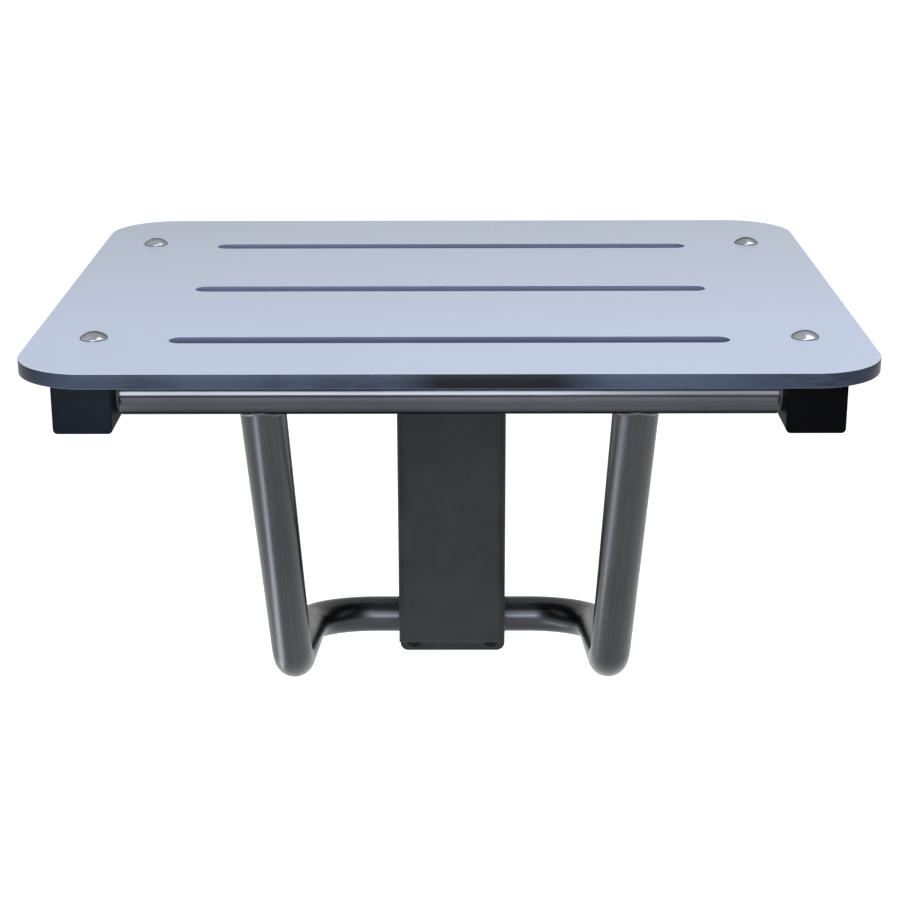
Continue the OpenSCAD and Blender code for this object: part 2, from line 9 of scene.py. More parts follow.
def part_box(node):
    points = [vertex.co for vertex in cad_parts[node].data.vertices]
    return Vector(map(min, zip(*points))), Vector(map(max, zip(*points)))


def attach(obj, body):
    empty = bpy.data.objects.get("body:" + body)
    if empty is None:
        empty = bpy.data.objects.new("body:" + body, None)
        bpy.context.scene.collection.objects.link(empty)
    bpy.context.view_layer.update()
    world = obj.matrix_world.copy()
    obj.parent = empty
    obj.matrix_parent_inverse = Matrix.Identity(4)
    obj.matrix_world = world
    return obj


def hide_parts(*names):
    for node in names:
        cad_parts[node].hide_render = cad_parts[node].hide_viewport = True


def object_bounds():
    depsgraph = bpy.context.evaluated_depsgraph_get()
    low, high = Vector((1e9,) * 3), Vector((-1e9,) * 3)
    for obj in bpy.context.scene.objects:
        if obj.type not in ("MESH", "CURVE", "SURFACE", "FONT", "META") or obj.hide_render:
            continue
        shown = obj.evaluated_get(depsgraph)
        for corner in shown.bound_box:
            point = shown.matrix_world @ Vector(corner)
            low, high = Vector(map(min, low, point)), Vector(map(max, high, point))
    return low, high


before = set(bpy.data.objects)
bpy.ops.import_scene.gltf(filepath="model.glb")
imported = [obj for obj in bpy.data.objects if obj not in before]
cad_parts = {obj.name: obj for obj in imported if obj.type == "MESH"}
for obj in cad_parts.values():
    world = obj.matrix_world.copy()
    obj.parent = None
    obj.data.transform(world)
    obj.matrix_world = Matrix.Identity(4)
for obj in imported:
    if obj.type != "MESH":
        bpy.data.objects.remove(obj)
cad_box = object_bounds()

MM = 0.001
FULL_TURN = 2 * math.pi
QUARTER_TURN = math.pi / 2
SIDEWAYS = Vector((1, 0, 0))


def box_of(node):
    """A node's low corner, high corner and middle."""
    low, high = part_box(node)
    return low, high, (low + high) / 2


# Camera of the photograph
CAMERA_PLACE = (0.0057, -1.3836, 0.4720)
CAMERA_PITCH = math.radians(18.386)
CAMERA_YAW = math.radians(0.297)
CAMERA_ROLL = math.radians(-0.168)
CAMERA_LENS_MM = 80
CAMERA_SENSOR_MM = 36
CAMERA_NEAR = 0.05
CAMERA_FAR = 60.0

# Studio
WHITE = (1.0, 1.0, 1.0)
FLOOR_DROP = 0.42
FLOOR_SIZE = 40.0
FLOOR_COLOR = (0.86, 0.86, 0.87)
FLOOR_GLOW = 0.62
ROOM_COLOR = (0.93, 0.96, 1.0)
ROOM_LIGHT = 0.52
WINDOW_COLOR = (0.84, 0.91, 1.0)

# Each lamp's place, the point that it faces, width, height, watts and colour
LAMPS = {
    "window_low": ((-0.36, -2.6, 0.29), (-0.2, 0.0, 0.2), 1.2, 0.66, 32, WINDOW_COLOR),
    "window_right": ((0.64, -2.6, 0.29), (0.2, 0.0, 0.2), 0.8, 0.66, 8, WINDOW_COLOR),
    "window_high": ((0.0, -2.2, 1.15), (0.0, 0.0, 0.0), 1.8, 0.7, 18, (0.88, 0.93, 1.0)),
    "overhead": ((1.1, -0.4, 2.1), (0.0, -0.2, 0.1), 1.6, 1.6, 21, (0.97, 0.98, 1.0)),
    "strip_low": ((-0.37, -0.275, -0.52), (-0.37, -0.275, 0.0), 0.12, 0.75, 1.9, (0.80, 0.89, 1.0)),
}

# Seat panel. Here and below, the smoothing angles are in degrees.
PANEL_EASE = 0.5 * MM
PANEL_EASE_STEPS = 2
PANEL_CORNER_R = 40 * MM
PANEL_ARC_STEPS = 24
PANEL_SMOOTH = 40
DRAIN_SLOT_L = 304.8 * MM
DRAIN_SLOT_W = 12.7 * MM
DRAIN_SETBACKS = (67 * MM, 183.5 * MM, 300 * MM)
DRAIN_ARC_STEPS = 12
DRAIN_ARC_SLACK = 0.001 * MM
SEAT_TOP = box_of("seat_panel")[1].z

# Brace
TUBE_R = 12.7 * MM
TUBE_WALL = 1.65 * MM
TUBE_SIDES = 72
LEG_X = 102 * MM
LEG_BEHIND = 1.9 * MM
KNEE_BACK = 150 * MM
KNEE_DROP = 228 * MM
KNEE_BEND_R = 50 * MM
CORNER_BEND_R = 47 * MM
BEND_STEP = math.radians(3)
BEND_STEPS_LEAST = 4
FRONT_MID = box_of("front_tube")[2]
CROSS_MID = box_of("glide_sleeve")[2]
LEG_ALONG = Vector((0, KNEE_BACK - LEG_BEHIND, -KNEE_DROP)).normalized()
LEG_UP = LEG_ALONG.cross(SIDEWAYS)

# Weld beads. The lean tilts a bead down its leg, and the flare makes it wider at the leg's two sides.
BEAD_R = 1.9 * MM
BEAD_FLAT_SHARE = 0.5
BEAD_FLARE_SHARE = 0.45
BEAD_WIDTH_SHARE = 1.05
BEAD_LEAN = 0.7
BEAD_SIDES = 12
BEAD_STEPS = 240
BEAD_RIPPLES = 30
BEAD_RIPPLE_SHARE = 0.10
BEAD_RIPPLE_MIDDLE = 0.7
BEAD_TANGENT_STEP = 0.02

# Domes of both kinds of bolt
DOME_RINGS = 14

# Pivot bolts
BUTTON_RISE = 2.2 * MM
KEY_HALF = 4.0 * MM
KEY_DEPTH = 3.0 * MM
KEY_MOUTH = 0.3 * MM
KEY_RIM_R = 1.3 * KEY_HALF
HEX_STEP = FULL_TURN / 6
PIVOT_HEAD_T = 3.5 * MM
PIVOT_HEAD_EASE = 0.2 * MM
PIVOT_R = 6.35 * MM
PIVOT_TIP_CHAMFER = 1 * MM
PIVOT_SIDES = 96
PIVOT_SMOOTH = 35

# Seat bolts. The lip is the rolled rim at the foot of the head.
BOLT_X = 194 * MM
BOLT_ROWS = (-329 * MM, -92.5 * MM)
BOLT_HEAD_R = 7.5 * MM
BOLT_LIP_H = 0.9 * MM
BOLT_LIP_W = 0.2 * MM
BOLT_LIP_HIGH = 0.6 * MM
BOLT_LIP_LOW = 0.25 * MM
BOLT_LIP_TUCK = 0.12 * MM
BOLT_GAP = 0.01 * MM
BOLT_SHANK_R = 4.0 * MM
BOLT_TIP_CHAMFER = 0.6 * MM
BOLT_SIDES = 64
BOLT_SMOOTH = 50

# End caps
CAP_EASE = 0.9 * MM
CAP_EASE_STEPS = 4
CAP_CORNER_R = 2.5 * MM
CAP_CORNER_SHRINK = 0.6
CAP_CORNER_STEPS = 6
CAP_FACE_T = 3 * MM
CAP_PLUG_HALF = 14.1 * MM
CAP_PLUG_CORNER_R = 0.4 * MM
CAP_SMOOTH = 35

# Smoothing of the pieces that stay as they were imported
NODE_SMOOTH = 32


# Node trees of the materials. Below, a noise is written as its scale, detail and roughness.

# The part of its range that most of a noise lies in, and a mask's two directions
NOISE_SPAN = (0.3, 0.7)
RISING = (0.0, 1.0)
FALLING = (1.0, 0.0)

# How well the rounded normal agrees with the plain one where an edge begins and where it is full
EDGE_SPAN = (0.98, 0.75)
EDGE_SAMPLES = 4


class Nodes:
    """A material's node tree with short calls for the nodes used here."""

    def __init__(self, name):
        self.mat = bpy.data.materials.new(name)
        self.mat.use_nodes = True
        self.tree = self.mat.node_tree
        self.tree.nodes.clear()
        out = self.tree.nodes.new("ShaderNodeOutputMaterial")
        self.shader = self.tree.nodes.new("ShaderNodeBsdfPrincipled")
        self.link(self.shader.outputs[0], out.inputs["Surface"])

    def link(self, a, b):
        self.tree.links.new(a, b)

    def feed(self, name, value):
        self.link(value, self.shader.inputs[name])

    def coords(self, kind, scale=(1, 1, 1)):
        tex = self.tree.nodes.new("ShaderNodeTexCoord")
        mapping = self.tree.nodes.new("ShaderNodeMapping")
        mapping.inputs["Scale"].default_value = scale
        self.link(tex.outputs[kind], mapping.inputs["Vector"])
        return mapping.outputs["Vector"]

    def noise(self, vector, scale, detail, rough):
        n = self.tree.nodes.new("ShaderNodeTexNoise")
        n.inputs["Scale"].default_value = scale
        n.inputs["Detail"].default_value = detail
        n.inputs["Roughness"].default_value = rough
        self.link(vector, n.inputs["Vector"])
        return n.outputs["Fac"]

    def fit(self, value, span, result):
        """Stretches value from its span to the result's, and holds it at both ends."""
        n = self.tree.nodes.new("ShaderNodeMapRange")
        for socket, number in zip(("From Min", "From Max", "To Min", "To Max"), (*span, *result)):
            n.inputs[socket].default_value = number
        self.link(value, n.inputs["Value"])
        return n.outputs["Result"]

    def calc(self, operation, a, b):
        n = self.tree.nodes.new("ShaderNodeMath")
        n.operation = operation
        for i, x in enumerate((a, b)):
            if isinstance(x, (int, float)):
                n.inputs[i].default_value = x
            else:
                self.link(x, n.inputs[i])
        return n.outputs[0]

    def plus(self, a, b):
        return self.calc("ADD", a, b)

    def times(self, a, b):
        return self.calc("MULTIPLY", a, b)

    def away_from(self, value, middle):
        return self.calc("ABSOLUTE", self.calc("SUBTRACT", value, middle), 0.0)

    def mix(self, fac, a, b):
        """a where fac is 0, b where it is 1. Both can be a colour or another node's output."""
        n = self.tree.nodes.new("ShaderNodeMix")
        n.data_type = "RGBA"
        self.link(fac, n.inputs[0])
        for i, x in ((6, a), (7, b)):
            if isinstance(x, tuple):
                n.inputs[i].default_value = (*x, 1)
            else:
                self.link(x, n.inputs[i])
        return n.outputs[2]

    def axis(self, vector, name):
        n = self.tree.nodes.new("ShaderNodeSeparateXYZ")
        self.link(vector, n.inputs[0])
        return n.outputs[name]

    def edges(self, radius):
        """1 at sharp edges, 0 on flats."""
        bevel = self.tree.nodes.new("ShaderNodeBevel")
        bevel.samples = EDGE_SAMPLES
        bevel.inputs["Radius"].default_value = radius
        plain = self.tree.nodes.new("ShaderNodeNewGeometry")
        dot = self.tree.nodes.new("ShaderNodeVectorMath")
        dot.operation = "DOT_PRODUCT"
        self.link(bevel.outputs[0], dot.inputs[0])
        self.link(plain.outputs["Normal"], dot.inputs[1])
        return self.fit(dot.outputs["Value"], EDGE_SPAN, RISING)

    def bump(self, height, strength, distance):
        n = self.tree.nodes.new("ShaderNodeBump")
        n.inputs["Strength"].default_value = strength
        n.inputs["Distance"].default_value = distance
        self.link(height, n.inputs["Height"])
        self.feed("Normal", n.outputs["Normal"])

    def set(self, **values):
        for name, value in values.items():
            self.shader.inputs[name.replace("_", " ")].default_value = value
        return self.mat


def scaled(numbers, share):
    return tuple(n * share for n in numbers)


# Brushed metal

BRACE_COLOR = (0.042, 0.0425, 0.0455)
TUBE_COLOR = (0.052, 0.053, 0.058)
RAIL_COLOR = (0.10, 0.103, 0.11)
FASTENER_COLOR = (0.22, 0.225, 0.235)
POLISHED_COLOR = (0.30, 0.31, 0.34)

# Tint of what the metal mirrors at a glancing angle
PLAIN_RIM = (0.8, 0.8, 0.78)
DARK_RIM = (0.22, 0.22, 0.21)
FRONT_RIM = (0.31, 0.31, 0.31)

# How fine the grain is along X, Y and Z, or for the bent tube along it and round it
GRAIN_X = (6, 700, 700)
GRAIN_Y = (700, 6, 700)
GRAIN_BENT = (6, 700, 1)
GRAIN_FASTENER = (300, 300, 300)
GRAIN_POLISHED = (200, 200, 200)
GRAIN_STRENGTH = 0.35
GRAIN_H = 0.02 * MM
GRAIN_NOISE = (1.0, 4, 0.6)
GRAIN_SHADES = (0.88, 1.12)
GRAIN_ROUGH = (-0.05, 0.05)

# Broader streaks, which follow the grain's stretch at a share of its fineness
STREAK_SHARE = 0.12
STREAK_NOISE = (1.0, 3, 0.55)
STREAK_SHADES = (0.82, 1.18)

# Soft blotches. Their scale differs between the steels, so here the noise has only its detail and roughness.
BLOTCH_SCALE = 7.0
BLOTCH_NOISE = (4, 0.6)
BLOTCH_SHADES = (0.86, 1.14)
BLOTCH_ROUGH = (0.8, 1.2)
STEEL_SHADES = (0.6, 1.4)
STEEL_EDGE = 0.8 * MM
STEEL_WEAR = 0.25
STEEL_WORN = 1.8

# Painted shade round the foot of a bolt's head, where it sits on the panel
BOLT_CONTACT_SHADE_H = 0.5 * MM
BOLT_CONTACT_SHADE_MIX = (0.9, 0.0)
BOLT_CONTACT_SHADE_SHARE = 0.15


def steel(name, color, grain, rough, kind="Object", grain_strength=GRAIN_STRENGTH, blotch=BLOTCH_SCALE,
          rim=PLAIN_RIM, foot=None):
    """Brushed metal: fine grain stretched along the piece, soft blotches, brighter worn edges. foot is the
    height of the panel under a bolt's head, just above which the colour is darkened as painted contact shade."""
    m = Nodes(name)
    spot = m.coords("Object")
    fine = m.noise(m.coords(kind, grain), *GRAIN_NOISE)
    streak = m.noise(m.coords(kind, scaled(grain, STREAK_SHARE)), *STREAK_NOISE)
    cloud = m.noise(spot, blotch, *BLOTCH_NOISE)
    shade = m.times(m.fit(fine, NOISE_SPAN, GRAIN_SHADES), m.fit(streak, NOISE_SPAN, STREAK_SHADES))
    shade = m.times(shade, m.fit(cloud, NOISE_SPAN, BLOTCH_SHADES))
    dark, light = (scaled(color, share) for share in STEEL_SHADES)
    base = m.mix(m.fit(shade, STEEL_SHADES, RISING), dark, light)
    base = m.mix(m.times(m.edges(STEEL_EDGE), STEEL_WEAR), base, scaled(color, STEEL_WORN))
    # painted contact shade: a thin darker band at the foot of the head
    if foot is not None:
        contact_shade = m.fit(m.axis(spot, "Z"), (foot, foot + BOLT_CONTACT_SHADE_H), BOLT_CONTACT_SHADE_MIX)
        base = m.mix(contact_shade, base, scaled(color, BOLT_CONTACT_SHADE_SHARE))
    m.feed("Base Color", base)
    m.feed("Roughness", m.plus(m.fit(cloud, NOISE_SPAN, scaled(BLOTCH_ROUGH, rough)),
                               m.fit(fine, NOISE_SPAN, GRAIN_ROUGH)))
    m.bump(fine, grain_strength, GRAIN_H)
    return m.set(Metallic=1.0, Specular_Tint=(*rim, 1.0))


# Moulded plastic

# The end caps are one black plastic. The left caps are painted lighter and bluer as painted light, the right
# caps darker as painted shade.
CAP_LEFT_LIT_COLOR = (0.0030, 0.0051, 0.0076)
CAP_RIGHT_SHADED_COLOR = (0.0005, 0.0005, 0.0006)
NYLON_COLOR = (0.020, 0.021, 0.024)
PLASTIC_SPARK = (900.0, 2, 0.5)
PLASTIC_SPARK_STRENGTH = 0.25
PLASTIC_SPARK_H = 0.03 * MM
PLASTIC_CLOUD = (12.0, 4, 0.6)
PLASTIC_SHADES = (0.8, 1.25)
PLASTIC_ROUGH = (0.9, 1.12)
PLASTIC_EDGE = 0.6 * MM
PLASTIC_WEAR = 0.5
PLASTIC_WORN = 1.8
PLASTIC_WORN_LIFT = 0.01


def plastic(name, color, rough, gloss=0.5):
    """Moulded plastic: fine spark texture, faint clouding, edges rubbed a little lighter."""
    m = Nodes(name)
    spot = m.coords("Object")
    spark = m.noise(spot, *PLASTIC_SPARK)
    cloud = m.noise(spot, *PLASTIC_CLOUD)
    dark, light = (scaled(color, share) for share in PLASTIC_SHADES)
    worn = tuple(c * PLASTIC_WORN + PLASTIC_WORN_LIFT for c in color)
    base = m.mix(m.fit(cloud, NOISE_SPAN, RISING), dark, light)
    base = m.mix(m.times(m.edges(PLASTIC_EDGE), PLASTIC_WEAR), base, worn)
    m.feed("Base Color", base)
    m.feed("Roughness", m.fit(cloud, NOISE_SPAN, scaled(PLASTIC_ROUGH, rough)))
    m.bump(spark, PLASTIC_SPARK_STRENGTH, PLASTIC_SPARK_H)
    return m.set(Specular_IOR_Level=gloss)


# Compact laminate

SKIN_T = 0.12 * MM
SKIN_BLEND = 0.1 * SKIN_T
SKIN_COLORS = ((0.497, 0.547, 0.668), (0.523, 0.573, 0.694))
# Painted shade: the pale faces turn darker and less blue towards the rear, over this span back from the front
# edge
SKIN_REAR_PAINTED_SHADE = (0.458, 0.488, 0.562)
SKIN_REAR_SHADE_SPAN = (90 * MM, 350 * MM)
SKIN_CLOUD = (6.0, 4, 0.6)
SKIN_CLOUD_ROUGH = (-0.03, 0.03)
SKIN_SPARK = (1500.0, 2, 0.6)
SKIN_SPARK_STRENGTH = 0.12
SKIN_SPARK_H = 0.03 * MM
LAMINATE_ROUGH = (0.36, 0.44)
LAMINATE_GLOSS = 0.09

CORE_COLORS = ((0.013, 0.016, 0.025), (0.031, 0.041, 0.063))
CORE_GRAIN = (60, 60, 900)
CORE_NOISE = (1.0, 3, 0.6)
PATCH_COLOR = (0.040, 0.052, 0.080)
PATCH_NOISE = (6.0, 3, 0.6)
PATCH_SPAN = (0.42, 0.62)

# A darker band of the front edge, its span measured from its own middle. The corners are darker too.
EDGE_BAND_COLOR = (0.002, 0.003, 0.004)
EDGE_BAND_X = 25 * MM
EDGE_BAND_SPAN = (30 * MM, 60 * MM)
EDGE_BAND_MIX = (0.97, 0.0)
CORNER_COLOR = (0.010, 0.012, 0.016)
CORNER_SPAN = (200 * MM, 222 * MM)
CORNER_MIX = (0.0, 0.6)

# Painted light: the core in the walls of the drain slots is painted lighter than the same core at the outer
# edge
SLOT_WALL_PAINTED_LIGHT = (0.150, 0.172, 0.265)
SLOT_FROM_FRONT = (3 * MM, 8 * MM)
SLOT_FROM_MIDDLE = (156 * MM, 160 * MM)
SLOT_MIX = (0.0, 0.8)


def shifted(span, start):
    return tuple(start + s for s in span)


def laminate(z_low, z_high, y_front):
    """Compact laminate: pale faces with a fine matt grain over a dark core that shows at the edges."""
    m = Nodes("laminate")
    spot = m.coords("Object")
    x, y, z = (m.axis(spot, name) for name in "XYZ")
    blend = (-SKIN_BLEND, SKIN_BLEND)
    skin = m.plus(m.fit(z, shifted(blend, z_high - SKIN_T), RISING),
                  m.fit(z, shifted(blend, z_low + SKIN_T), FALLING))
    cloud = m.noise(spot, *SKIN_CLOUD)
    spark = m.noise(spot, *SKIN_SPARK)
    pale = m.mix(m.fit(cloud, NOISE_SPAN, RISING), *SKIN_COLORS)
    # painted shade towards the rear
    pale = m.mix(m.fit(y, shifted(SKIN_REAR_SHADE_SPAN, y_front), RISING), pale, SKIN_REAR_PAINTED_SHADE)
    milled = m.noise(m.coords("Object", CORE_GRAIN), *CORE_NOISE)
    core = m.mix(m.fit(milled, NOISE_SPAN, RISING), *CORE_COLORS)
    core = m.mix(m.fit(m.noise(spot, *PATCH_NOISE), PATCH_SPAN, RISING), core, PATCH_COLOR)
    core = m.mix(m.fit(m.away_from(x, EDGE_BAND_X), EDGE_BAND_SPAN, EDGE_BAND_MIX), core, EDGE_BAND_COLOR)
    from_middle = m.away_from(x, 0.0)
    core = m.mix(m.fit(from_middle, CORNER_SPAN, CORNER_MIX), core, CORNER_COLOR)
    # painted light on the core inside the drain slots
    inside = m.times(m.fit(y, shifted(SLOT_FROM_FRONT, y_front), SLOT_MIX),
                     m.fit(from_middle, SLOT_FROM_MIDDLE, FALLING))
    core = m.mix(inside, core, SLOT_WALL_PAINTED_LIGHT)
    m.feed("Base Color", m.mix(skin, core, pale))
    m.feed("Roughness", m.plus(m.fit(skin, RISING, LAMINATE_ROUGH),
                               m.fit(cloud, NOISE_SPAN, SKIN_CLOUD_ROUGH)))
    m.bump(spark, SKIN_SPARK_STRENGTH, SKIN_SPARK_H)
    return m.set(Specular_IOR_Level=LAMINATE_GLOSS)


# Coating of the bracket

COAT_COLORS = ((0.0108, 0.0102, 0.0097), (0.0235, 0.0226, 0.0218))
COAT_WORN_AND_HIGHLIT_COLOR = (0.13, 0.13, 0.135)
COAT_EDGE = 0.9 * MM
COAT_CLOUD = (16.0, 5, 0.62)
COAT_CLOUD_SPAN = (0.32, 0.68)
COAT_CLOUD_SHADES = (-0.35, 0.35)
COAT_PATCH = (55.0, 4, 0.65)
COAT_PATCH_SPAN = (0.35, 0.65)
COAT_PATCH_SHADES = (-0.18, 0.18)
COAT_PATCH_BUMP = 0.6
COAT_SHADE_SPAN = (-0.5, 0.5)
COAT_SPARK = (1300.0, 2, 0.5)
COAT_BUMP_STRENGTH = 0.2
COAT_BUMP_H = 0.05 * MM
COAT_ROUGH = (0.5, 0.62)
COAT_METAL = 0.1
COAT_GLOSS = 0.16

# How far the edges of the plate and the channel are lightened, partly rubbed and partly a painted highlight
PLATE_EDGE_WEAR_AND_HIGHLIGHT = 0.9
CHANNEL_EDGE_WEAR_AND_HIGHLIGHT = 0.7

# Painted shadow of the seat above: the channel darkens upwards between these heights
CHANNEL_PAINTED_SHADE_Z = (10 * MM, 126 * MM)
CHANNEL_PAINTED_SHADE_MIX = (0.0, 0.75)
CHANNEL_PAINTED_SHADE_COLOR = (0.004, 0.004, 0.004)


def bracket_coat(name, rubbed_and_highlit, painted_shade_heights=None):
    """Dark satin sheet with faint soft mottling and lighter edges, partly rubbed and partly a painted
    highlight. Given painted_shade_heights, it is darkened towards their top as a painted shadow of the seat."""
    m = Nodes(name)
    spot = m.coords("Object")
    cloud = m.noise(spot, *COAT_CLOUD)
    patch = m.noise(spot, *COAT_PATCH)
    spark = m.noise(spot, *COAT_SPARK)
    shade = m.plus(m.fit(cloud, COAT_CLOUD_SPAN, COAT_CLOUD_SHADES),
                   m.fit(patch, COAT_PATCH_SPAN, COAT_PATCH_SHADES))
    base = m.mix(m.fit(shade, COAT_SHADE_SPAN, RISING), *COAT_COLORS)
    # painted shadow of the seat: darker towards the top of the channel
    if painted_shade_heights:
        base = m.mix(m.fit(m.axis(spot, "Z"), painted_shade_heights, CHANNEL_PAINTED_SHADE_MIX), base, CHANNEL_PAINTED_SHADE_COLOR)
    # rubbed edges, lightened further as a painted highlight along the edges
    base = m.mix(m.times(m.edges(COAT_EDGE), rubbed_and_highlit), base, COAT_WORN_AND_HIGHLIT_COLOR)
    m.feed("Base Color", base)
    m.feed("Roughness", m.fit(cloud, NOISE_SPAN, COAT_ROUGH))
    m.bump(m.plus(spark, m.times(patch, COAT_PATCH_BUMP)), COAT_BUMP_STRENGTH, COAT_BUMP_H)
    return m.set(Metallic=COAT_METAL, Specular_IOR_Level=COAT_GLOSS)


# Weld metal

WELD_COLORS = ((0.034, 0.035, 0.039), (0.066, 0.064, 0.060))
WELD_CLOUD = (90.0, 4, 0.6)
WELD_CLOUD_SPAN = (0.35, 0.65)
WELD_FINE = (900.0, 3, 0.6)
WELD_ROUGH = (0.22, 0.42)
WELD_BUMP_STRENGTH = 0.3
WELD_BUMP_H = 0.05 * MM


def weld_metal():
    """Weld bead: mottled dark metal, bluish in its dark patches and warmer in its light ones."""
    m = Nodes("weld_metal")
    spot = m.coords("Object")
    cloud = m.noise(spot, *WELD_CLOUD)
    fine = m.noise(spot, *WELD_FINE)
    m.feed("Base Color", m.mix(m.fit(cloud, WELD_CLOUD_SPAN, RISING), *WELD_COLORS))
    m.feed("Roughness", m.fit(fine, NOISE_SPAN, WELD_ROUGH))
    m.bump(fine, WELD_BUMP_STRENGTH, WELD_BUMP_H)
    return m.set(Metallic=1.0)


# Materials

STEEL = {
    "tube": steel("tube_brushed", BRACE_COLOR, GRAIN_BENT, rough=0.30, kind="UV"),
    "along_x": steel("tube_brushed_x", TUBE_COLOR, GRAIN_X, rough=0.11, rim=FRONT_RIM),
    "spacer": steel("spacer_brushed", RAIL_COLOR, GRAIN_X, rough=0.34, rim=DARK_RIM),
    "rail": steel("rail_brushed", RAIL_COLOR, GRAIN_Y, rough=0.34, rim=DARK_RIM),
    "fastener": steel("fastener_plain", FASTENER_COLOR, GRAIN_FASTENER, rough=0.32),
    "polished": steel("bolt_polished", POLISHED_COLOR, GRAIN_POLISHED, rough=0.2, grain_strength=0.08,
                      blotch=60.0, rim=DARK_RIM, foot=SEAT_TOP),
}
PLASTIC = {
    # lit and shaded copies of one cap plastic
    "cap_left": plastic("cap_moulded_left", CAP_LEFT_LIT_COLOR, rough=0.42, gloss=0.045),
    "cap_right": plastic("cap_moulded_right", CAP_RIGHT_SHADED_COLOR, rough=0.5, gloss=0.02),
    "nylon": plastic("nylon_turned", NYLON_COLOR, rough=0.45),
}
COAT = {
    "channel": bracket_coat("bracket_satin", CHANNEL_EDGE_WEAR_AND_HIGHLIGHT, CHANNEL_PAINTED_SHADE_Z),
    "plate": bracket_coat("plate_satin", PLATE_EDGE_WEAR_AND_HIGHLIGHT),
}


# Meshes

def add_mesh(name, verts, faces, smooth=True):
    mesh = bpy.data.meshes.new(name)
    mesh.from_pydata([tuple(v) for v in verts], [], faces)
    mesh.validate()
    if smooth:
        mesh.polygons.foreach_set("use_smooth", [True] * len(mesh.polygons))
    obj = bpy.data.objects.new(name, mesh)
    bpy.context.scene.collection.objects.link(obj)
    return obj


def use_material(obj, mat):
    obj.data.materials.clear()
    obj.data.materials.append(mat)


def smooth_by_angle(obj, degrees):
    """Rounds the shading where faces meet at less than this angle, and leaves the real corners sharp."""
    obj.data.polygons.foreach_set("use_smooth", [True] * len(obj.data.polygons))
    obj.data.set_sharp_from_angle(angle=math.radians(degrees))


def joined(parts):
    """The verts and faces of several parts as one."""
    verts, faces = [], []
    for part_verts, part_faces in parts:
        faces += [tuple(i + len(verts) for i in face) for face in part_faces]
        verts += part_verts
    return verts, faces


def tube_rings(count, sides, closed=False):
    """Faces between rings that follow each other, and from the last to the first where closed."""
    faces = []
    for i in range(count if closed else count - 1):
        here, ahead = i * sides, (i + 1) % count * sides
        for k in range(sides):
            n = (k + 1) % sides
            faces.append((here + k, here + n, ahead + n, ahead + k))
    return faces


def ring_uv(obj, sides, lengths):
    """UV in metres for a tube of rings: U along the tube, V round it."""
    layer = obj.data.uv_layers.new(name="along")
    girth = FULL_TURN * TUBE_R
    for poly in obj.data.polygons:
        corners = [(li, *divmod(obj.data.loops[li].vertex_index, sides)) for li in poly.loop_indices]
        at_seam = any(side == sides - 1 for _, _, side in corners)
        for li, ring, side in corners:
            turned = 1.0 if side == 0 and at_seam else side / sides
            layer.data[li].uv = (lengths[ring], turned * girth)


def arc(cx, cy, r, start, stop, steps):
    angles = [start + (stop - start) * i / steps for i in range(steps + 1)]
    return [(cx + r * math.cos(a), cy + r * math.sin(a)) for a in angles]


def round_outline(x0, x1, y0, y1, r, steps):
    """A rectangle with round corners."""
    points = []
    for i, (cx, cy) in enumerate(((x1 - r, y1 - r), (x0 + r, y1 - r), (x0 + r, y0 + r), (x1 - r, y0 + r))):
        points += arc(cx, cy, r, i * QUARTER_TURN, (i + 1) * QUARTER_TURN, steps)
    return points


def turned_ring(place, r, h, sides):
    """A ring of lathe, round or six-sided."""
    points = []
    for k in range(sides):
        angle = FULL_TURN * k / sides
        reach = r if r > 0 else -r / math.cos(angle % HEX_STEP - HEX_STEP / 2)
        points.append(place @ Vector((reach * math.cos(angle), reach * math.sin(angle), h)))
    return points


def lathe(place, profile, sides):
    """Verts and faces of a closed form turned about the Z axis of place. The profile runs from its top to its
    foot as [radius, height]. A negative radius is a six-sided ring, this wide from its middle to a flat."""
    verts = [place @ Vector((0, 0, profile[0][1]))]
    for r, h in profile[1:]:
        verts += turned_ring(place, r, h, sides)
    faces = [(0, 1 + k, 1 + (k + 1) % sides) for k in range(sides)]
    for i in range(len(profile) - 2):
        a = 1 + i * sides
        b = a + sides
        faces += [(a + k, b + k, b + (k + 1) % sides, a + (k + 1) % sides) for k in range(sides)]
    last = 1 + (len(profile) - 2) * sides
    faces.append(tuple(last + k for k in reversed(range(sides))))
    return verts, faces


def dome(r, rise, top, start_r, steps):
    """Profile of a dome with this foot radius and rise, from start_r down to its foot."""
    ball_r = (rise ** 2 + r ** 2) / (2 * rise)
    start, reach = math.asin(start_r / ball_r), math.asin(r / ball_r)
    angles = [start + (reach - start) * i / steps for i in range(steps + 1)]
    return [(ball_r * math.sin(a), top - ball_r + ball_r * math.cos(a)) for a in angles]


# Camera and studio

def make_camera():
    data = bpy.data.cameras.new("photo_camera")
    data.lens = CAMERA_LENS_MM
    data.sensor_width = CAMERA_SENSOR_MM
    data.clip_start = CAMERA_NEAR
    data.clip_end = CAMERA_FAR
    cam = bpy.data.objects.new("photo_camera", data)
    turn = Matrix.Rotation(CAMERA_YAW, 4, "Z") @ Matrix.Rotation(QUARTER_TURN - CAMERA_PITCH, 4, "X")
    cam.matrix_world = Matrix.Translation(CAMERA_PLACE) @ turn @ Matrix.Rotation(CAMERA_ROLL, 4, "Z")
    bpy.context.scene.collection.objects.link(cam)
    bpy.context.scene.camera = cam


def seen_directly(tree):
    """1 for a camera, glossy or transmission ray, else 0."""
    path = tree.nodes.new("ShaderNodeLightPath")
    total = path.outputs["Is Camera Ray"]
    for name in ("Is Glossy Ray", "Is Transmission Ray"):
        n = tree.nodes.new("ShaderNodeMath")
        n.operation = "MAXIMUM"
        tree.links.new(total, n.inputs[0])
        tree.links.new(path.outputs[name], n.inputs[1])
        total = n.outputs[0]
    return total


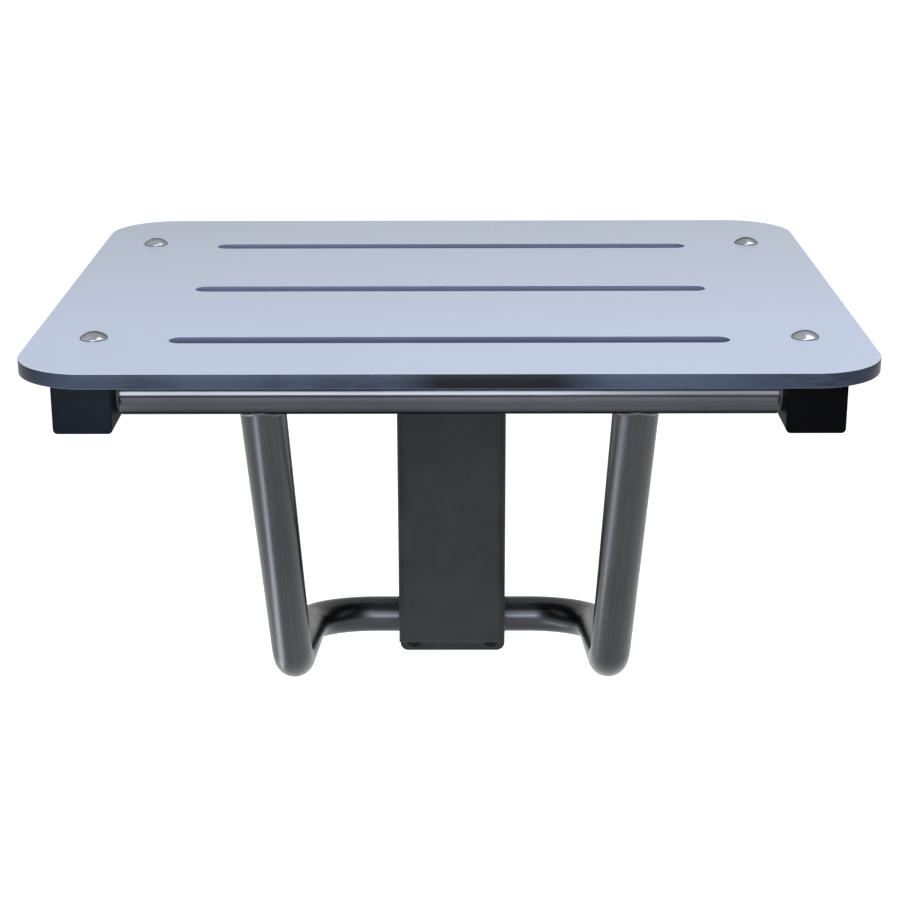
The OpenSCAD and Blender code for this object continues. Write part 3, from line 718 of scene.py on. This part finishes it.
def make_world():
    """White where it is seen, and a dim, slightly blue room light for everything else."""
    world = bpy.data.worlds.new("studio")
    bpy.context.scene.world = world
    world.use_nodes = True
    tree = world.node_tree
    tree.nodes.clear()
    out = tree.nodes.new("ShaderNodeOutputWorld")
    mix = tree.nodes.new("ShaderNodeMixShader")
    tree.links.new(seen_directly(tree), mix.inputs[0])
    for socket, color, strength in ((1, ROOM_COLOR, ROOM_LIGHT), (2, WHITE, 1.0)):
        back = tree.nodes.new("ShaderNodeBackground")
        back.inputs["Color"].default_value = (*color, 1)
        back.inputs["Strength"].default_value = strength
        tree.links.new(back.outputs[0], mix.inputs[socket])
    tree.links.new(mix.outputs[0], out.inputs["Surface"])


def make_floor():
    """A pale matt floor that glows where it is seen, so that it meets the white background with no line."""
    half = FLOOR_SIZE / 2
    z = cad_box[0].z - FLOOR_DROP
    floor = add_mesh("floor", [(-half, -half, z), (half, -half, z), (half, half, z), (-half, half, z)],
                     [(0, 1, 2, 3)], smooth=False)
    mat = bpy.data.materials.new("floor_white")
    mat.use_nodes = True
    tree = mat.node_tree
    tree.nodes.clear()
    out = tree.nodes.new("ShaderNodeOutputMaterial")
    add = tree.nodes.new("ShaderNodeAddShader")
    matt = tree.nodes.new("ShaderNodeBsdfDiffuse")
    glow = tree.nodes.new("ShaderNodeEmission")
    power = tree.nodes.new("ShaderNodeMath")
    power.operation = "MULTIPLY"
    power.inputs[1].default_value = FLOOR_GLOW
    matt.inputs["Color"].default_value = (*FLOOR_COLOR, 1)
    tree.links.new(seen_directly(tree), power.inputs[0])
    tree.links.new(power.outputs[0], glow.inputs["Strength"])
    tree.links.new(matt.outputs[0], add.inputs[0])
    tree.links.new(glow.outputs[0], add.inputs[1])
    tree.links.new(add.outputs[0], out.inputs["Surface"])
    use_material(floor, mat)


def make_lamps():
    for name, (place, aim, width, height, watts, color) in LAMPS.items():
        data = bpy.data.lights.new(name, "AREA")
        data.shape = "RECTANGLE"
        data.size = width
        data.size_y = height
        data.energy = watts
        data.color = color
        lamp = bpy.data.objects.new(name, data)
        lamp.location = place
        lamp.rotation_euler = (Vector(aim) - Vector(place)).to_track_quat("-Z", "Y").to_euler()
        bpy.context.scene.collection.objects.link(lamp)


# Seat panel

def panel_outlines(low, high):
    """The panel's outer edge and its drain slots, from above, drawn in by the width of the eased edge."""
    e = PANEL_EASE
    r = DRAIN_SLOT_W / 2 + e
    half = DRAIN_SLOT_L / 2 + e
    outlines = [round_outline(low.x + e, high.x - e, low.y + e, high.y - e,
                              PANEL_CORNER_R - e, PANEL_ARC_STEPS)]
    for setback in DRAIN_SETBACKS:
        y = low.y + setback
        outlines.append(round_outline(-half, half, y - r, y + r, r - DRAIN_ARC_SLACK, DRAIN_ARC_STEPS))
    return outlines


def make_panel():
    """The seat panel as one slab with eased edges, its drain slots cut through."""
    low, high, mid = box_of("seat_panel")
    curve = bpy.data.curves.new("panel_outline", "CURVE")
    curve.dimensions = "2D"
    curve.fill_mode = "BOTH"
    curve.extrude = (high.z - low.z) / 2 - PANEL_EASE
    curve.bevel_depth = PANEL_EASE
    curve.bevel_resolution = PANEL_EASE_STEPS
    for outline in panel_outlines(low, high):
        spline = curve.splines.new("POLY")
        spline.points.add(len(outline) - 1)
        for point, (x, y) in zip(spline.points, outline):
            point.co = (x, y, 0, 1)
        spline.use_cyclic_u = True
    drawn = bpy.data.objects.new("panel_outline", curve)
    bpy.context.scene.collection.objects.link(drawn)
    bpy.context.view_layer.update()
    mesh = bpy.data.meshes.new_from_object(drawn.evaluated_get(bpy.context.evaluated_depsgraph_get()))
    bpy.data.objects.remove(drawn)
    mesh.transform(Matrix.Translation((0, 0, mid.z)))
    panel = bpy.data.objects.new("laminate_panel", mesh)
    bpy.context.scene.collection.objects.link(panel)
    smooth_by_angle(panel, PANEL_SMOOTH)
    use_material(panel, laminate(low.z, high.z, low.y))
    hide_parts("seat_panel")
    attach(panel, "seat")


# Brace

def mirrored(vector):
    return Vector((-vector.x, vector.y, vector.z))


def leg_top(side):
    return Vector((side * LEG_X, FRONT_MID.y + LEG_BEHIND, FRONT_MID.z))


def brace_stations():
    """Middle line of the brace from the left leg's top to the right leg's top, as [point, direction]."""
    knee = Vector((-LEG_X, FRONT_MID.y + KNEE_BACK, FRONT_MID.z - KNEE_DROP))
    corner = Vector((-LEG_X, CROSS_MID.y, CROSS_MID.z))
    arm_along = (corner - knee).normalized()
    stations = [[leg_top(-1), LEG_ALONG]]
    bends = ((knee, LEG_ALONG, arm_along, KNEE_BEND_R), (corner, arm_along, SIDEWAYS, CORNER_BEND_R))
    for place, before, after, radius in bends:
        turn = before.angle(after)
        start = place - before * radius * math.tan(turn / 2)
        axis = before.cross(after).normalized()
        centre = start + axis.cross(before) * radius
        steps = max(BEND_STEPS_LEAST, round(turn / BEND_STEP))
        for i in range(steps + 1):
            spin = Matrix.Rotation(turn * i / steps, 3, axis)
            stations.append([centre + spin @ (start - centre), spin @ before])
    return stations + [[mirrored(point), -mirrored(along)] for point, along in reversed(stations)]


def onto_front_tube(point, depth):
    """Slides a point along the leg until it lies in the front tube's surface, or this depth inside it."""
    off = point - FRONT_MID
    reach = math.sqrt(max(0.0, (TUBE_R - depth) ** 2 - off.dot(LEG_UP) ** 2))
    return point + LEG_ALONG * (reach - off.dot(LEG_ALONG))


def make_brace():
    """Legs, knees, arms and cross tube as one bent tube whose tops are notched round the front tube."""
    stations = brace_stations()
    lengths = [0.0]
    for (before, _), (place, _) in zip(stations, stations[1:]):
        lengths.append(lengths[-1] + (place - before).length)
    verts = []
    side = SIDEWAYS
    for i, (place, along) in enumerate(stations):
        side = (side - along * side.dot(along)).normalized()
        up = along.cross(side)
        is_top = i in (0, len(stations) - 1)
        for k in range(TUBE_SIDES):
            angle = FULL_TURN * k / TUBE_SIDES
            point = place + (side * math.cos(angle) + up * math.sin(angle)) * TUBE_R
            verts.append(onto_front_tube(point, TUBE_WALL / 2) if is_top else point)
    tube = add_mesh("brace_bent_tube", verts, tube_rings(len(stations), TUBE_SIDES))
    ring_uv(tube, TUBE_SIDES, lengths)
    use_material(tube, STEEL["tube"])
    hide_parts("brace_tube")
    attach(tube, "brace")


# Weld beads

def out_of_leg(angle):
    return SIDEWAYS * math.cos(angle) + LEG_UP * math.sin(angle)


def joint_point(top, angle):
    """Where the skin of the leg with this top meets the front tube, at this angle round the leg."""
    return onto_front_tube(top + out_of_leg(angle) * TUBE_R, 0.0)


def weld_bead(side):
    """Verts and faces of the rippled bead along the line where a leg's top meets the front tube."""
    top = leg_top(side)
    verts = []
    for i in range(BEAD_STEPS):
        angle = FULL_TURN * i / BEAD_STEPS
        here = joint_point(top, angle)
        ahead = joint_point(top, angle + BEAD_TANGENT_STEP) - joint_point(top, angle - BEAD_TANGENT_STEP)
        ahead.normalize()
        out = (out_of_leg(angle) + LEG_ALONG * BEAD_LEAN).normalized()
        out = (out - ahead * out.dot(ahead)).normalized()
        over = ahead.cross(out)
        phase = i * BEAD_RIPPLES / BEAD_STEPS % 1
        r = BEAD_R * (1 + BEAD_RIPPLE_SHARE * (math.sqrt(phase) - BEAD_RIPPLE_MIDDLE))
        rise = r * (BEAD_FLAT_SHARE + BEAD_FLARE_SHARE * math.cos(angle) ** 2)
        width = r * BEAD_WIDTH_SHARE
        for k in range(BEAD_SIDES):
            b = FULL_TURN * k / BEAD_SIDES
            verts.append(here + out * rise * math.cos(b) + over * width * math.sin(b))
    return verts, tube_rings(BEAD_STEPS, BEAD_SIDES, closed=True)


def make_welds():
    beads = add_mesh("leg_weld_beads", *joined(weld_bead(side) for side in (-1, 1)))
    use_material(beads, weld_metal())
    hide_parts("leg_welds")
    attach(beads, "brace")


# Bolts

def make_pivot_bolt(node, outward):
    """A shoulder bolt with a low button head and a six-sided key socket. outward is the way that its head
    looks along X."""
    low, high, mid = box_of(node)
    top = abs(high.x if outward > 0 else low.x)
    tip = top - (high.x - low.x)
    under = top - PIVOT_HEAD_T
    head_r = (high.z - low.z) / 2
    profile = [(0.0, top - KEY_DEPTH), (-KEY_HALF, top - KEY_DEPTH), (-KEY_HALF, top - KEY_MOUTH)]
    profile += dome(head_r, BUTTON_RISE, top, KEY_RIM_R, DOME_RINGS - 1)
    profile += [(head_r, under + PIVOT_HEAD_EASE), (head_r - PIVOT_HEAD_EASE, under), (PIVOT_R, under),
                (PIVOT_R, tip + PIVOT_TIP_CHAMFER), (PIVOT_R - PIVOT_TIP_CHAMFER, tip)]
    place = Matrix.Translation((0, mid.y, mid.z)) @ Matrix.Rotation(outward * QUARTER_TURN, 4, "Y")
    bolt = add_mesh("button_" + node, *lathe(place, profile, PIVOT_SIDES))
    smooth_by_angle(bolt, PIVOT_SMOOTH)
    use_material(bolt, STEEL["fastener"])
    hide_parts(node)
    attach(bolt, "brace")


def make_bolts():
    """Domed bolts: polished crown, a rolled lip where the head sits on the panel, and the shank below."""
    low, high, _ = box_of("seat_bolts")
    profile = dome(BOLT_HEAD_R - BOLT_LIP_W, high.z - SEAT_TOP - BOLT_LIP_H, high.z, 0.0, DOME_RINGS)
    profile += [(BOLT_HEAD_R, SEAT_TOP + BOLT_LIP_HIGH), (BOLT_HEAD_R, SEAT_TOP + BOLT_LIP_LOW),
                (BOLT_HEAD_R - BOLT_LIP_TUCK, SEAT_TOP + BOLT_GAP), (BOLT_SHANK_R, SEAT_TOP + BOLT_GAP),
                (BOLT_SHANK_R, low.z + BOLT_TIP_CHAMFER), (BOLT_SHANK_R - BOLT_TIP_CHAMFER, low.z)]
    places = [Matrix.Translation((x, y, 0)) for x in (-BOLT_X, BOLT_X) for y in BOLT_ROWS]
    bolts = add_mesh("domed_bolts", *joined(lathe(place, profile, BOLT_SIDES) for place in places))
    smooth_by_angle(bolts, BOLT_SMOOTH)
    use_material(bolts, STEEL["polished"])
    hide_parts("seat_bolts")
    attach(bolts, "seat")


# End caps

def make_cap(node, toward):
    """An end cap with softly eased face edges and its plug behind. toward is the way that its face looks, -1
    or 1 along Y."""
    low, high, mid = box_of(node)
    face_y = low.y if toward < 0 else high.y
    half = (high.x - low.x) / 2
    sizes = []
    for i in range(CAP_EASE_STEPS + 1):
        a = QUARTER_TURN * i / CAP_EASE_STEPS
        inset = CAP_EASE * (1 - math.sin(a))
        sizes.append((half - inset, CAP_CORNER_R - inset * CAP_CORNER_SHRINK, CAP_EASE * (1 - math.cos(a))))
    sizes += [(half, CAP_CORNER_R, CAP_FACE_T), (CAP_PLUG_HALF, CAP_PLUG_CORNER_R, CAP_FACE_T),
              (CAP_PLUG_HALF, CAP_PLUG_CORNER_R, high.y - low.y)]
    verts = []
    for reach, r, depth in sizes:
        outline = round_outline(mid.x - reach, mid.x + reach, mid.z - reach, mid.z + reach,
                                r, CAP_CORNER_STEPS)
        verts += [Vector((x, face_y - toward * depth, z)) for x, z in outline]
    count = len(verts) // len(sizes)
    first, last = range(count), range(len(verts) - count, len(verts))
    faces = tube_rings(len(sizes), count) + [tuple(reversed(first)), tuple(last)]
    if toward < 0:
        faces = [tuple(reversed(face)) for face in faces]
    cap = add_mesh("moulded_" + node, verts, faces)
    smooth_by_angle(cap, CAP_SMOOTH)
    use_material(cap, PLASTIC["cap_left" if mid.x < 0 else "cap_right"])
    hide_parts(node)
    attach(cap, "seat")


# Build

make_camera()
make_world()
make_floor()
make_lamps()

NODE_MATERIALS = {
    "wall_plate": COAT["plate"],
    "guide_channel": COAT["channel"],
    "channel_welds": COAT["channel"],
    "hinge_bush_left": PLASTIC["nylon"],
    "hinge_bush_right": PLASTIC["nylon"],
    "rail_left": STEEL["rail"],
    "rail_right": STEEL["rail"],
    "hinge_rod": STEEL["spacer"],
    "hinge_spacer_left": STEEL["spacer"],
    "hinge_spacer_right": STEEL["spacer"],
    "hinge_washers": STEEL["fastener"],
    "hinge_nuts": STEEL["fastener"],
    "bolt_washers": STEEL["fastener"],
    "bolt_nuts": STEEL["fastener"],
    "pivot_bush_left": PLASTIC["nylon"],
    "pivot_bush_right": PLASTIC["nylon"],
    "front_tube": STEEL["along_x"],
    "tube_plug_left": STEEL["fastener"],
    "tube_plug_right": STEEL["fastener"],
    "glide_sleeve": PLASTIC["nylon"],
}
for node, mat in NODE_MATERIALS.items():
    use_material(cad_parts[node], mat)
    smooth_by_angle(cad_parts[node], NODE_SMOOTH)

make_panel()
make_brace()
make_welds()
make_bolts()
make_pivot_bolt("pivot_bolt_left", -1)
make_pivot_bolt("pivot_bolt_right", 1)
for node in ("front_cap_left", "front_cap_right"):
    make_cap(node, -1)
for node in ("rear_cap_left", "rear_cap_right"):
    make_cap(node, 1)

bpy.context.scene.view_settings.view_transform = "Standard"
